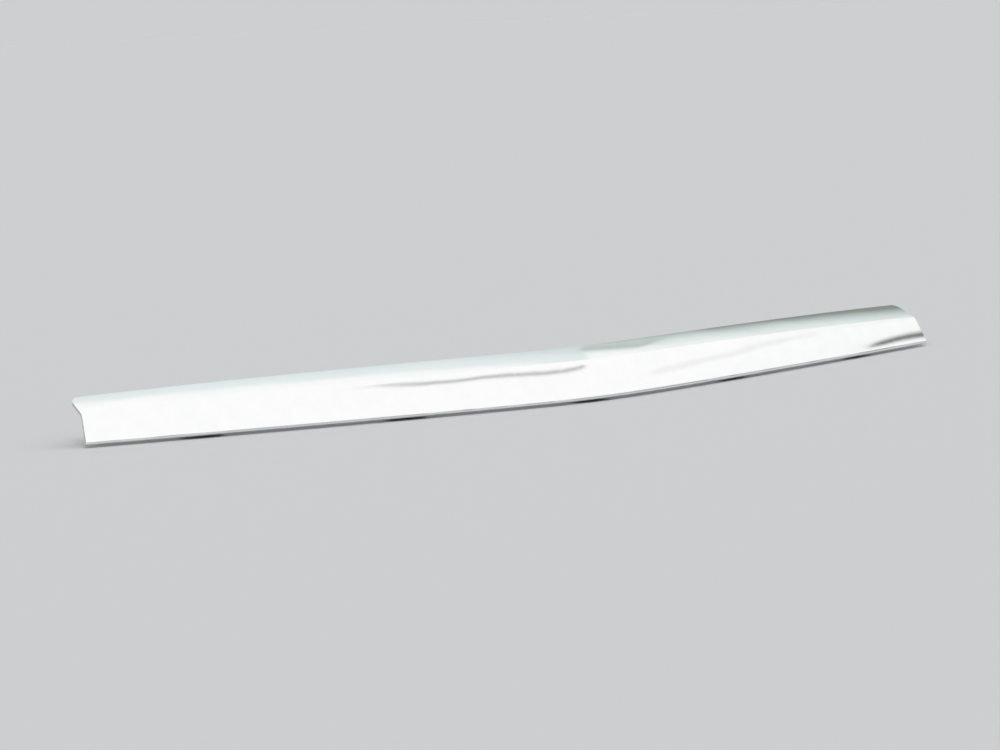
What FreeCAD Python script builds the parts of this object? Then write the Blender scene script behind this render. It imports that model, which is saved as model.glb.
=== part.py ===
import FreeCAD, Part
import math
import os
import Sketcher

# Hood bug deflector: a moulded chrome shield that wraps the front edge of a pickup's hood.
# Five bent steel brackets clamp the hood's front lip, and the shield's ears are screwed to them.
# X runs along the hood's front edge, Y runs back towards the windshield and Z is up.
# The origin is the middle of the seat where the hood's lip rests in the middle bracket.

doc = FreeCAD.newDocument("hood_bug_deflector")
sheet = doc.addObject("Spreadsheet::Sheet", "Sizes")
Constraint = Sketcher.Constraint
Vector = FreeCAD.Vector
sub_parts = []


# Sizes in millimetres and degrees

SIZES = {
    "half_width": 767,  # half the length of the shield's lower edge
    "nose_spread": 100,  # how far from the middle the soft point at the nose spreads
    "sweep_slope": 0.194,  # backward slope that the front edge gains past the nose
    "flank_radius": 10900,  # radius of the slow curve that the flanks add to that slope
    "crown_height": 73,  # height of the shield at the middle
    "end_height": 61.3,  # height of the shield at its ends
    "crown_setback": 75,  # how far the top edge lies behind the lower edge at the middle
    "end_setback": 71,  # how far it lies behind the lower edge at the ends
    "crown_falloff": 2.5,  # power by which height and setback fall off towards the ends
    "face_lean": 31,  # backward lean of the face from upright
    "top_slope": 23,  # rise of the top flange from level
    "bend_radius": 14,  # outer radius of the bend between face and top flange
    "edge_radius": 4,  # outer radius where the face turns into the lower flange
    "wall": 3,  # thickness of the moulding
    "flange_depth": 12,  # depth of the turned-in lower flange
    "end_slant": 8.8,  # inward slant of the cut ends from upright
    "corner_round": 12,  # rounding of the top flange's rear corners, seen from above
    "bracket_end_gap": 167,  # from the end of the lower edge in to the last bracket, along X
    "lip_setback": 24,  # from the shield's lower edge back to the middle of the lip's seat
    "lip_gap": 5,  # jaw that takes the hood's hemmed lip
    "lip_depth": 20,  # how deep the lip goes into the jaw
    "liner": 2,  # thickness of the rubber liner
    "liner_width": 46,  # length of the liner along the lip
    "liner_round": 1.2,  # rounding of the liner's rear edges
    "strap": 2,  # thickness of the bracket's steel
    "bracket_width": 50,  # width of the bracket's lower arm
    "hook_width": 34,  # width of the bracket's rear wall and upper arm
    "hook_reach": 12,  # how far the upper arm reaches forward over the lip
    "bracket_bend": 3,  # inner radius of the bracket's bends
    "toe": 3,  # how far the lower arm reaches in front of the liner
    "arm_corner": 5,  # cut of the bracket's free corners
    "screw_behind_lip": 10,  # from the bottom of the jaw back to the screws' line
    "web_clearance": 9,  # from the screws' line back to the bracket's rear wall
    "clamp_offset": 10,  # from the bracket's middle to the clamp screw
    "tie_offset": 13,  # from the bracket's middle to the shield screw, on the other side
    "shank": 5,  # diameter of the screws
    "thread_play": 0.1,  # extra diameter of the nuts' bores
    "hole_play": 0.5,  # extra diameter of the holes and extra width of the slots
    "slot_travel": 8,  # how far a shield screw can be moved along its slot
    "ear_width": 62,  # length of an ear along the front edge
    "ear_round": 9,  # rounding of an ear's rear corners
    "ear_root": 3,  # how far an ear runs into the lower flange
    "ear_margin": 12,  # from the screws' line to the ear's rear edge
    "head_play": 1.5,  # gap round the clamp screw's head in the ear's window
    "nut_flats": 8,  # size of the nuts and the hex head across flats
    "nut_height": 4.7,  # height of the nuts
    "pan_width": 9.5,  # diameter of the shield screw's pan head
    "pan_height": 3.4,  # height of the pan head
    "pan_bevel": 1.2,  # bevel of the pan head's rim
    "recess_width": 5.2,  # width of the cross recess over its four arms
    "recess_arm": 1.3,  # width of one arm of the cross recess
    "recess_depth": 1.9,  # depth of the cross recess
    "hex_height": 3.6,  # height of the clamp screw's hex head
    "screw_tip": 1.4,  # how far each screw stands out past its nut
    "bumper_end_gap": 102,  # from the end of the lower edge in to the last bumper, along X
    "bumper_length": 26,  # length of a bumper along the edge
    "bumper_width": 13,  # width of a bumper from front to rear
    "bumper_height": 5,  # thickness of a bumper, the shield's standoff from the hood
    "bumper_inset": 11,  # from the shield's top edge to the middle of a bumper
    "end_pad_length": 16,  # width of a foam end pad along the edge
    "end_pad_width": 26,  # height of a foam end pad up the face
    "end_pad_height": 6,  # thickness of a foam end pad
    "end_pad_inset": 16,  # from the end of the lower edge to the middle of an end pad
    "end_pad_rise": 27,  # from the lower edge up the face to the middle of an end pad
    "pad_corner": 3,  # cut of the corners of bumpers and end pads
    "end_overrun": 15,  # how far the wall is lofted past the ends, before they are cut
    "cut_margin": 20,  # how far the cutting outlines reach past what they cut
}
for row, (name, number) in enumerate(SIZES.items(), 1):
    sheet.set("A%d" % row, name)
    sheet.set("B%d" % row, str(number))
    sheet.setAlias("B%d" % row, name)
doc.recompute()


# Formulas that several pieces share. Levels are heights over the lip's seat.

ARM_TOP = "(-Sizes.liner)"
ARM_FOOT = "(-Sizes.liner - Sizes.strap)"
SHIELD_FOOT = "(-Sizes.liner - Sizes.strap - Sizes.wall)"
HOOK_FOOT = "(Sizes.lip_gap + Sizes.liner)"
HOOK_TOP = "(Sizes.lip_gap + Sizes.liner + Sizes.strap)"
JAW_FRONT = "(-Sizes.lip_depth / 2)"
JAW_END = "(Sizes.lip_depth / 2)"
HOOK_FRONT = "(Sizes.lip_depth / 2 - Sizes.hook_reach)"
SCREW_LINE = "(Sizes.lip_depth / 2 + Sizes.screw_behind_lip)"
WEB_INSIDE = "(Sizes.lip_depth / 2 + Sizes.screw_behind_lip + Sizes.web_clearance)"
HOLE = "(Sizes.shank + Sizes.hole_play)"
HEX_REACH = "(Sizes.nut_flats / sqrt(3))"


def edge_back(x):
    """How far back the shield's lower edge lies at x."""
    return ("(Sizes.sweep_slope * (sqrt((%s)^2 + Sizes.nose_spread^2) - Sizes.nose_spread)"
            " + (%s)^2 / (2 * Sizes.flank_radius) - Sizes.lip_setback)" % (x, x))


def edge_turn(x):
    """The direction of the lower edge at x, as a turn about Z."""
    return ("atan(Sizes.sweep_slope * (%s) / sqrt((%s)^2 + Sizes.nose_spread^2)"
            " + (%s) / Sizes.flank_radius)" % (x, x, x))


def falling_off(crown, end, x):
    share = "abs((%s) / Sizes.half_width)^Sizes.crown_falloff" % x
    return "(Sizes.%s - (Sizes.%s - Sizes.%s) * %s)" % (crown, crown, end, share)


def height_at(x):
    return falling_off("crown_height", "end_height", x)


def setback_at(x):
    return falling_off("crown_setback", "end_setback", x)


def placed(x, y, z, yaw="0", pitch="0", roll="0"):
    return "placement(vector(%s; %s; %s); rotation(%s; %s; %s))" % (x, y, z, yaw, pitch, roll)


def at_bracket(x, across="0", behind="0", level="0"):
    """A place in the frame of the bracket at x, which lies square to the front edge."""
    turn = edge_turn(x)
    depth = "(Sizes.lip_setback + %s)" % behind
    along = "(%s) + %s * cos(%s) - %s * sin(%s)" % (x, across, turn, depth, turn)
    back = "%s + %s * sin(%s) + %s * cos(%s)" % (edge_back(x), across, turn, depth, turn)
    return placed(along, back, level, turn)


def on_top_flange(x, inset):
    """A place on the top flange's outer side, a way in from its rear edge, with Z square to it."""
    back = "%s + %s - %s * cos(Sizes.top_slope)" % (edge_back(x), setback_at(x), inset)
    level = "%s + %s - %s * sin(Sizes.top_slope)" % (SHIELD_FOOT, height_at(x), inset)
    return placed(x, back, level, edge_turn(x), "0", "Sizes.top_slope")


def on_face(x, rise):
    """A place on the face's outer side, a way up from its lower edge, with Z square to it."""
    back = "%s + %s * sin(Sizes.face_lean)" % (edge_back(x), rise)
    level = "%s + %s * cos(Sizes.face_lean)" % (SHIELD_FOOT, rise)
    return placed(x, back, level, edge_turn(x), "0", "90 - Sizes.face_lean")


def amount(formula):
    result = sheet.evalExpression(formula)
    return float(getattr(result, "Value", result))


# Rows of equal pieces along the front edge, counted from the left end

def row_along_edge(count, end_gap):
    """A name and a place along X for each piece of a row that ends short of the shield's ends."""
    last = count - 1
    reach = "(Sizes.half_width - Sizes.%s)" % end_gap
    return [(str(index + 1), "(%d / %d * %s)" % (2 * index - last, last, reach)) for index in range(count)]


BRACKETS = row_along_edge(5, "bracket_end_gap")
BUMPERS = row_along_edge(8, "bumper_end_gap")


# Sketching and PartDesign features

def new_sketch(body, name, plane, offset=None):
    sketch = body.newObject("Sketcher::SketchObject", name)
    origin_plane = [part for part in body.Origin.OriginFeatures if part.Role == plane][0]
    sketch.AttachmentSupport = [(origin_plane, "")]
    sketch.MapMode = "FlatFace"
    if offset:
        sketch.setExpression("AttachmentOffset", offset)
    return sketch


def bind(sketch, constraint, formula):
    index = sketch.addConstraint(constraint)
    sketch.setExpression("Constraints[%d]" % index, formula)


def add_line(sketch, start, end):
    return sketch.addGeometry(Part.LineSegment(start, end))


def add_arc(sketch, centre, radius, start, end):
    ring = Part.Circle(centre, Vector(0, 0, 1), radius)
    return sketch.addGeometry(Part.ArcOfCircle(ring, math.radians(start), math.radians(end)))


def tangent(sketch, *joints):
    for first, first_end, second, second_end in joints:
        sketch.addConstraint(Constraint("Tangent", first, first_end, second, second_end))


def outline(sketch, corners):
    """Straight lines through the corners, which are pairs of formulas."""
    points = [Vector(amount(across), amount(up), 0) for across, up in corners]
    first = sketch.GeometryCount
    count = len(points)
    for index in range(count):
        add_line(sketch, points[index], points[(index + 1) % count])
    for index in range(count):
        following = first + (index + 1) % count
        sketch.addConstraint(Constraint("Coincident", first + index, 2, following, 1))
    for index, (across, up) in enumerate(corners):
        bind(sketch, Constraint("DistanceX", -1, 1, first + index, 1, points[index].x), across)
        bind(sketch, Constraint("DistanceY", -1, 1, first + index, 1, points[index].y), up)


def rounded_box(sketch, left, right, front, rear, radius, front_radius):
    """A rectangle with rounded rear and front corners."""
    x1, x2 = amount(left), amount(right)
    y1, y2 = amount(front), amount(rear)
    r, q = amount(radius), amount(front_radius)
    side_right = add_line(sketch, Vector(x2, y1 + q, 0), Vector(x2, y2 - r, 0))
    rear_right = add_arc(sketch, Vector(x2 - r, y2 - r, 0), r, 0, 90)
    side_rear = add_line(sketch, Vector(x2 - r, y2, 0), Vector(x1 + r, y2, 0))
    rear_left = add_arc(sketch, Vector(x1 + r, y2 - r, 0), r, 90, 180)
    side_left = add_line(sketch, Vector(x1, y2 - r, 0), Vector(x1, y1 + q, 0))
    front_left = add_arc(sketch, Vector(x1 + q, y1 + q, 0), q, 180, 270)
    side_front = add_line(sketch, Vector(x1 + q, y1, 0), Vector(x2 - q, y1, 0))
    front_right = add_arc(sketch, Vector(x2 - q, y1 + q, 0), q, 270, 360)
    ring = (side_right, rear_right, side_rear, rear_left, side_left, front_left, side_front, front_right)
    tangent(sketch, *[(ring[index], 2, ring[(index + 1) % 8], 1) for index in range(8)])
    for side in (side_right, side_left):
        sketch.addConstraint(Constraint("Vertical", side))
    for side in (side_rear, side_front):
        sketch.addConstraint(Constraint("Horizontal", side))
    for corner in (rear_right, rear_left):
        bind(sketch, Constraint("Radius", corner, r), radius)
    for corner in (front_left, front_right):
        bind(sketch, Constraint("Radius", corner, q), front_radius)
    bind(sketch, Constraint("DistanceX", -1, 1, side_left, 1, x1), left)
    bind(sketch, Constraint("DistanceX", -1, 1, side_right, 1, x2), right)
    bind(sketch, Constraint("DistanceY", -1, 1, side_front, 1, y1), front)
    bind(sketch, Constraint("DistanceY", -1, 1, side_rear, 1, y2), rear)


def slot(sketch, across, up, travel, width):
    """A slot along the sketch's horizontal axis."""
    x, y = amount(across), amount(up)
    half, r = amount(travel) / 2, amount(width) / 2
    right = add_arc(sketch, Vector(x + half, y, 0), r, -90, 90)
    upper = add_line(sketch, Vector(x + half, y + r, 0), Vector(x - half, y + r, 0))
    left = add_arc(sketch, Vector(x - half, y, 0), r, 90, 270)
    lower = add_line(sketch, Vector(x - half, y - r, 0), Vector(x + half, y - r, 0))
    tangent(sketch, (right, 2, upper, 1), (upper, 2, left, 1), (left, 2, lower, 1), (lower, 2, right, 1))
    sketch.addConstraint(Constraint("Horizontal", upper))
    sketch.addConstraint(Constraint("Horizontal", lower))
    bind(sketch, Constraint("Radius", right, r), "%s / 2" % width)
    bind(sketch, Constraint("DistanceX", -1, 1, right, 3, x + half), "%s + %s / 2" % (across, travel))
    bind(sketch, Constraint("DistanceX", -1, 1, left, 3, x - half), "%s - %s / 2" % (across, travel))
    bind(sketch, Constraint("DistanceY", -1, 1, right, 3, y), up)


def circle(sketch, across, up, diameter):
    centre = Vector(amount(across), amount(up), 0)
    index = sketch.addGeometry(Part.Circle(centre, Vector(0, 0, 1), amount(diameter) / 2))
    bind(sketch, Constraint("DistanceX", -1, 1, index, 3, centre.x), across)
    bind(sketch, Constraint("DistanceY", -1, 1, index, 3, centre.y), up)
    bind(sketch, Constraint("Diameter", index, amount(diameter)), diameter)


def hexagon(sketch):
    outline(sketch, [("%s * cos(%d)" % (HEX_REACH, turn), "%s * sin(%d)" % (HEX_REACH, turn))
                     for turn in range(0, 360, 60)])


def add_feature(body, kind, sketch):
    feature = body.newObject("PartDesign::" + kind, "%s_%s" % (sketch.Name, kind.lower()))
    feature.Profile = sketch
    body.Tip = feature
    return feature


def pad(body, sketch, length, side="One side", reverse=False):
    feature = add_feature(body, "Pad", sketch)
    feature.setExpression("Length", length)
    feature.SideType = side
    feature.Reversed = reverse
    doc.recompute()


def pocket(body, sketch, side="Symmetric", reverse=False, depth=None):
    before = body.Shape.Volume
    feature = add_feature(body, "Pocket", sketch)
    feature.SideType = side
    feature.Reversed = reverse
    if depth:
        feature.setExpression("Length", depth)
    else:
        feature.Type = "ThroughAll"
    doc.recompute()
    if not body.Shape.Volume < before:
        raise RuntimeError("%s cuts nothing" % feature.Name)


def turned(body, sketch):
    """Revolve the sketch about its own upright axis."""
    feature = add_feature(body, "Revolution", sketch)
    feature.ReferenceAxis = (sketch, ["V_Axis"])
    feature.Angle = 360
    doc.recompute()


def dress_edges(body, kind, extent, chosen):
    """Fillet or chamfer the edges of the body's last feature that the test picks."""
    last = body.Tip
    names = ["Edge%d" % (index + 1) for index, edge in enumerate(last.Shape.Edges) if chosen(edge)]
    feature = body.newObject("PartDesign::" + kind, "%s_%s" % (last.Name, kind.lower()))
    feature.Base = (last, names)
    feature.setExpression("Radius" if kind == "Fillet" else "Size", extent)
    body.Tip = feature
    doc.recompute()


def close(first, second):
    return abs(first - second) < 0.001


# Shield: one moulding, lofted through sections of its wall that stand square to X

FLANK_STEPS = 8
EDGE_ARCS = 3


def wall_section(body, name, x):
    """The wall's section at x. Its own origin is where the face would meet the lower flange."""
    sketch = new_sketch(body, name, "YZ_Plane", placed(edge_back(x), SHIELD_FOOT, x))
    lean = amount("Sizes.face_lean")
    slope = amount("Sizes.top_slope")
    wall = amount("Sizes.wall")
    bend = amount("Sizes.bend_radius")
    edge = amount("Sizes.edge_radius")
    depth = amount("Sizes.flange_depth")
    top_edge = Vector(amount(setback_at(x)), amount(height_at(x)), 0)

    def direction(degrees):
        return Vector(math.cos(math.radians(degrees)), math.sin(math.radians(degrees)), 0)

    up_face = direction(90 - lean)
    face_out = direction(180 - lean)
    up_top = direction(slope)
    top_out = direction(90 + slope)
    fold = top_edge - up_top * (top_edge.dot(face_out) / up_top.dot(face_out))
    bend_start = bend * math.tan(math.radians((90 - lean - slope) / 2))
    bend_centre = fold - up_face * bend_start - face_out * bend
    corner_centre = Vector(edge * math.tan(math.radians((90 + lean) / 2)), edge, 0)
    inner_corner = Vector(wall * math.tan(math.radians((90 + lean) / 2)), wall, 0)
    share = (90 + lean) / EDGE_ARCS

    flange_foot = add_line(sketch, Vector(depth, 0, 0), Vector(corner_centre.x, 0, 0))
    corner = [add_arc(sketch, corner_centre, edge, 270 - share * (index + 1), 270 - share * index)
              for index in range(EDGE_ARCS)]
    face = add_line(sketch, corner_centre + face_out * edge, bend_centre + face_out * bend)
    fold_out = add_arc(sketch, bend_centre, bend, 90 + slope, 180 - lean)
    top = add_line(sketch, bend_centre + top_out * bend, top_edge)
    rear_end = add_line(sketch, top_edge, top_edge - top_out * wall)
    top_in = add_line(sketch, top_edge - top_out * wall, bend_centre + top_out * (bend - wall))
    fold_in = add_arc(sketch, bend_centre, bend - wall, 90 + slope, 180 - lean)
    face_in = add_line(sketch, bend_centre + face_out * (bend - wall), inner_corner)
    flange_top = add_line(sketch, inner_corner, Vector(depth, wall, 0))
    flange_end = add_line(sketch, Vector(depth, wall, 0), Vector(depth, 0, 0))

    tangent(sketch, (flange_foot, 2, corner[0], 2), (corner[-1], 1, face, 1), (face, 2, fold_out, 2),
            (fold_out, 1, top, 1), (top_in, 2, fold_in, 1), (fold_in, 2, face_in, 1))
    for lower, upper in zip(corner[:-1], corner[1:]):
        sketch.addConstraint(Constraint("Coincident", lower, 1, upper, 2))
        sketch.addConstraint(Constraint("Coincident", lower, 3, upper, 3))
        angle = Constraint("Angle", lower, math.radians(share))
        bind(sketch, angle, "(90 + Sizes.face_lean) / %d" % EDGE_ARCS)
    sketch.addConstraint([
        Constraint("Coincident", top, 2, rear_end, 1),
        Constraint("Coincident", rear_end, 2, top_in, 1),
        Constraint("Coincident", face_in, 2, flange_top, 1),
        Constraint("Coincident", flange_top, 2, flange_end, 1),
        Constraint("Coincident", flange_end, 2, flange_foot, 1),
        Constraint("Coincident", fold_in, 3, fold_out, 3),
        Constraint("Perpendicular", top, rear_end),
        Constraint("Parallel", top, top_in),
        Constraint("Parallel", face, face_in),
        Constraint("Horizontal", flange_foot),
        Constraint("Horizontal", flange_top),
        Constraint("Vertical", flange_end),
        Constraint("PointOnObject", flange_foot, 1, -1),
        Constraint("PointOnObject", -1, 1, face)])
    bind(sketch, Constraint("Radius", corner[0], edge), "Sizes.edge_radius")
    bind(sketch, Constraint("Radius", fold_out, bend), "Sizes.bend_radius")
    bind(sketch, Constraint("Radius", fold_in, bend - wall), "Sizes.bend_radius - Sizes.wall")
    bind(sketch, Constraint("Angle", face, math.radians(90 - lean)), "90 - Sizes.face_lean")
    bind(sketch, Constraint("Angle", top, math.radians(slope)), "Sizes.top_slope")
    bind(sketch, Constraint("DistanceX", -1, 1, flange_foot, 1, depth), "Sizes.flange_depth")
    bind(sketch, Constraint("DistanceY", -1, 1, flange_top, 2, wall), "Sizes.wall")
    bind(sketch, Constraint("DistanceX", -1, 1, top, 2, top_edge.x), setback_at(x))
    bind(sketch, Constraint("DistanceY", -1, 1, top, 2, top_edge.y), height_at(x))
    return sketch


def add_ear(body, name, x):
    """A tongue on the lower flange under a bracket, with a slot and a window for the clamp screw."""
    sketch = new_sketch(body, "ear_" + name, "XY_Plane", at_bracket(x, level=SHIELD_FOOT))
    side = "Sizes.ear_width / 2"
    front = "Sizes.flange_depth - Sizes.ear_root - Sizes.lip_setback"
    rear = "%s + Sizes.ear_margin" % SCREW_LINE
    rounded_box(sketch, "-" + side, side, front, rear, "Sizes.ear_round", "Sizes.ear_root / 2")
    slot(sketch, "Sizes.tie_offset", SCREW_LINE, "Sizes.slot_travel", HOLE)
    circle(sketch, "-Sizes.clamp_offset", SCREW_LINE, "2 * (%s + Sizes.head_play)" % HEX_REACH)
    pad(body, sketch, "Sizes.wall")


def trim_end(body, name, half_turn):
    """Cut an end off along its slant, which passes through the end of the lower edge."""
    sketch = new_sketch(body, "trim_" + name, "XZ_Plane", placed("0", "0", "0", "0", half_turn))
    low = "%s - Sizes.cut_margin" % SHIELD_FOOT
    high = "%s + Sizes.crown_height + Sizes.cut_margin" % SHIELD_FOOT
    low_x = "Sizes.half_width + Sizes.cut_margin * tan(Sizes.end_slant)"
    high_x = "Sizes.half_width - (Sizes.crown_height + Sizes.cut_margin) * tan(Sizes.end_slant)"
    far = "Sizes.half_width + Sizes.end_overrun + Sizes.cut_margin"
    outline(sketch, [(low_x, low), (far, low), (far, high), (high_x, high)])
    pocket(body, sketch)


def round_corner(body, name, side):
    """Round a rear corner of the top flange, seen along the slant of the cut end."""
    corner_x = "(Sizes.half_width - Sizes.end_height * tan(Sizes.end_slant))"
    turn = edge_turn(corner_x)
    corner_y = "%s + %s + Sizes.wall * sin(Sizes.top_slope)" % (edge_back(corner_x), setback_at(corner_x))
    slanted = placed("%d * %s" % (side, corner_x), corner_y, "%s + Sizes.end_height" % SHIELD_FOOT,
                     "0", "%d * Sizes.end_slant" % -side)
    turned_in = placed("0", "0", "0", "%d * (%s / 2 - 45 deg)" % (side, turn))
    sketch = new_sketch(body, "corner_" + name, "XY_Plane", "%s * %s" % (slanted, turned_in))
    half = "(45 deg - %s / 2)" % turn
    centre = "(-Sizes.corner_round / sin(%s))" % half
    across = "(Sizes.corner_round * cos(%s))" % half
    down = "(%s + Sizes.corner_round * sin(%s))" % (centre, half)
    peak = "Sizes.cut_margin"
    radius = amount("Sizes.corner_round")
    opening = amount(half)
    right_end = Vector(amount(across), amount(down), 0)
    left_end = Vector(-amount(across), amount(down), 0)
    tip = Vector(0, amount(peak), 0)
    rim = add_arc(sketch, Vector(0, amount(centre), 0), radius, opening, 180 - opening)
    left_line = add_line(sketch, left_end, tip)
    right_line = add_line(sketch, tip, right_end)
    sketch.addConstraint([
        Constraint("Coincident", rim, 2, left_line, 1),
        Constraint("Coincident", left_line, 2, right_line, 1),
        Constraint("Coincident", right_line, 2, rim, 1),
        Constraint("PointOnObject", rim, 3, -2),
        Constraint("PointOnObject", left_line, 2, -2)])
    bind(sketch, Constraint("Radius", rim, radius), "Sizes.corner_round")
    bind(sketch, Constraint("DistanceX", -1, 1, rim, 1, right_end.x), across)
    bind(sketch, Constraint("DistanceX", rim, 2, -1, 1, right_end.x), across)
    bind(sketch, Constraint("DistanceY", rim, 1, -1, 1, -right_end.y), "-" + down)
    bind(sketch, Constraint("DistanceY", -1, 1, left_line, 2, tip.y), peak)
    pocket(body, sketch)


shield = doc.addObject("PartDesign::Body", "shield")
stations = ["(%d / %d * (Sizes.half_width + Sizes.end_overrun))" % (step, FLANK_STEPS)
            for step in range(-FLANK_STEPS, FLANK_STEPS + 1)]
sections = [wall_section(shield, "section_%d" % index, x) for index, x in enumerate(stations, 1)]
doc.recompute()
wall_loft = shield.newObject("PartDesign::AdditiveLoft", "wall_loft")
wall_loft.Profile = sections[0]
wall_loft.Sections = sections[1:]
shield.Tip = wall_loft
doc.recompute()
for name, x in BRACKETS:
    add_ear(shield, name, x)
trim_end(shield, "right", "0")
trim_end(shield, "left", "180")
round_corner(shield, "right", 1)
round_corner(shield, "left", -1)
sub_parts.append(shield)


# Brackets: steel strip bent round the hood's lip, with a wide lower arm and a narrower hook

def make_bracket(name, x):
    body = doc.addObject("PartDesign::Body", "bracket_" + name)
    side = new_sketch(body, "side_" + name, "YZ_Plane")
    toe = "(%s - Sizes.toe)" % JAW_FRONT
    front, hook_front, web = amount(toe), amount(HOOK_FRONT), amount(WEB_INSIDE)
    foot, top = amount(ARM_FOOT), amount(ARM_TOP)
    hook_foot, hook_top = amount(HOOK_FOOT), amount(HOOK_TOP)
    bend = amount("Sizes.bracket_bend")
    strap = amount("Sizes.strap")
    low = Vector(web - bend, top + bend, 0)
    high = Vector(web - bend, hook_foot - bend, 0)
    arm_under = add_line(side, Vector(front, foot, 0), Vector(low.x, foot, 0))
    low_out = add_arc(side, low, bend + strap, -90, 0)
    web_out = add_line(side, Vector(web + strap, low.y, 0), Vector(web + strap, high.y, 0))
    high_out = add_arc(side, high, bend + strap, 0, 90)
    hook_over = add_line(side, Vector(high.x, hook_top, 0), Vector(hook_front, hook_top, 0))
    hook_end = add_line(side, Vector(hook_front, hook_top, 0), Vector(hook_front, hook_foot, 0))
    hook_under = add_line(side, Vector(hook_front, hook_foot, 0), Vector(high.x, hook_foot, 0))
    high_in = add_arc(side, high, bend, 0, 90)
    web_in = add_line(side, Vector(web, high.y, 0), Vector(web, low.y, 0))
    low_in = add_arc(side, low, bend, -90, 0)
    arm_over = add_line(side, Vector(low.x, top, 0), Vector(front, top, 0))
    arm_end = add_line(side, Vector(front, top, 0), Vector(front, foot, 0))
    tangent(side, (arm_under, 2, low_out, 1), (low_out, 2, web_out, 1), (web_out, 2, high_out, 1),
            (high_out, 2, hook_over, 1), (hook_under, 2, high_in, 2), (high_in, 1, web_in, 1),
            (web_in, 2, low_in, 2), (low_in, 1, arm_over, 1))
    side.addConstraint([
        Constraint("Coincident", hook_over, 2, hook_end, 1),
        Constraint("Coincident", hook_end, 2, hook_under, 1),
        Constraint("Coincident", arm_over, 2, arm_end, 1),
        Constraint("Coincident", arm_end, 2, arm_under, 1),
        Constraint("Coincident", low_in, 3, low_out, 3),
        Constraint("Coincident", high_in, 3, high_out, 3)])
    for level in (arm_under, hook_over, hook_under, arm_over):
        side.addConstraint(Constraint("Horizontal", level))
    for plumb in (web_out, hook_end, web_in, arm_end):
        side.addConstraint(Constraint("Vertical", plumb))
    bind(side, Constraint("Radius", low_in, bend), "Sizes.bracket_bend")
    bind(side, Constraint("Radius", high_in, bend), "Sizes.bracket_bend")
    bind(side, Constraint("Radius", low_out, bend + strap), "Sizes.bracket_bend + Sizes.strap")
    bind(side, Constraint("DistanceX", -1, 1, arm_under, 1, front), toe)
    bind(side, Constraint("DistanceX", -1, 1, hook_end, 1, hook_front), HOOK_FRONT)
    bind(side, Constraint("DistanceX", -1, 1, web_in, 1, web), WEB_INSIDE)
    bind(side, Constraint("DistanceY", -1, 1, arm_under, 1, foot), ARM_FOOT)
    bind(side, Constraint("DistanceY", -1, 1, hook_under, 1, hook_foot), HOOK_FOOT)
    pad(body, side, "Sizes.bracket_width", "Symmetric")

    notch = new_sketch(body, "notch_" + name, "XZ_Plane")
    for sign in ("", "-"):
        near = "%sSizes.hook_width / 2" % sign
        far = "%s(Sizes.bracket_width / 2 + Sizes.cut_margin)" % sign
        shoulder = "%s + Sizes.bracket_bend" % ARM_TOP
        high_end = "%s + Sizes.cut_margin" % HOOK_TOP
        outline(notch, [(near, shoulder), (far, shoulder), (far, high_end), (near, high_end)])
    pocket(body, notch)

    clamp_hole = new_sketch(body, "clamp_hole_" + name, "XY_Plane")
    circle(clamp_hole, "-Sizes.clamp_offset", SCREW_LINE, HOLE)
    pocket(body, clamp_hole)
    tie_hole = new_sketch(body, "tie_hole_" + name, "XY_Plane")
    circle(tie_hole, "Sizes.tie_offset", SCREW_LINE, HOLE)
    pocket(body, tie_hole, "One side")

    def free_corner(edge):
        ends = [vertex.Point for vertex in edge.Vertexes]
        plumb = len(ends) == 2 and close(ends[0].x, ends[1].x) and close(ends[0].y, ends[1].y)
        return plumb and (close(ends[0].y, front) or close(ends[0].y, hook_front))

    dress_edges(body, "Chamfer", "Sizes.arm_corner", free_corner)
    body.setExpression("Placement", at_bracket(x))
    return body


for name, x in BRACKETS:
    sub_parts.append(make_bracket(name, x))


# Lip liners: U-shaped rubber that fills each jaw round the hood's lip

def make_liner(name, x):
    body = doc.addObject("PartDesign::Body", "lip_liner_" + name)
    sketch = new_sketch(body, "channel_" + name, "YZ_Plane")
    rear = "(%s + Sizes.liner)" % JAW_END
    outline(sketch, [(JAW_FRONT, ARM_TOP), (rear, ARM_TOP), (rear, HOOK_FOOT), (HOOK_FRONT, HOOK_FOOT),
                     (HOOK_FRONT, "Sizes.lip_gap"), (JAW_END, "Sizes.lip_gap"), (JAW_END, "0"),
                     (JAW_FRONT, "0")])
    pad(body, sketch, "Sizes.liner_width", "Symmetric")
    rear_y = amount(rear)

    def rear_edge(edge):
        ends = [vertex.Point for vertex in edge.Vertexes]
        return close(ends[0].y, rear_y) and close(ends[1].y, rear_y) and close(ends[0].z, ends[1].z)

    dress_edges(body, "Fillet", "Sizes.liner_round", rear_edge)
    body.setExpression("Placement", at_bracket(x))
    return body


for name, x in BRACKETS:
    sub_parts.append(make_liner(name, x))


# Fasteners: each kind is drawn once on its own axis and linked to every bracket

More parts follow.
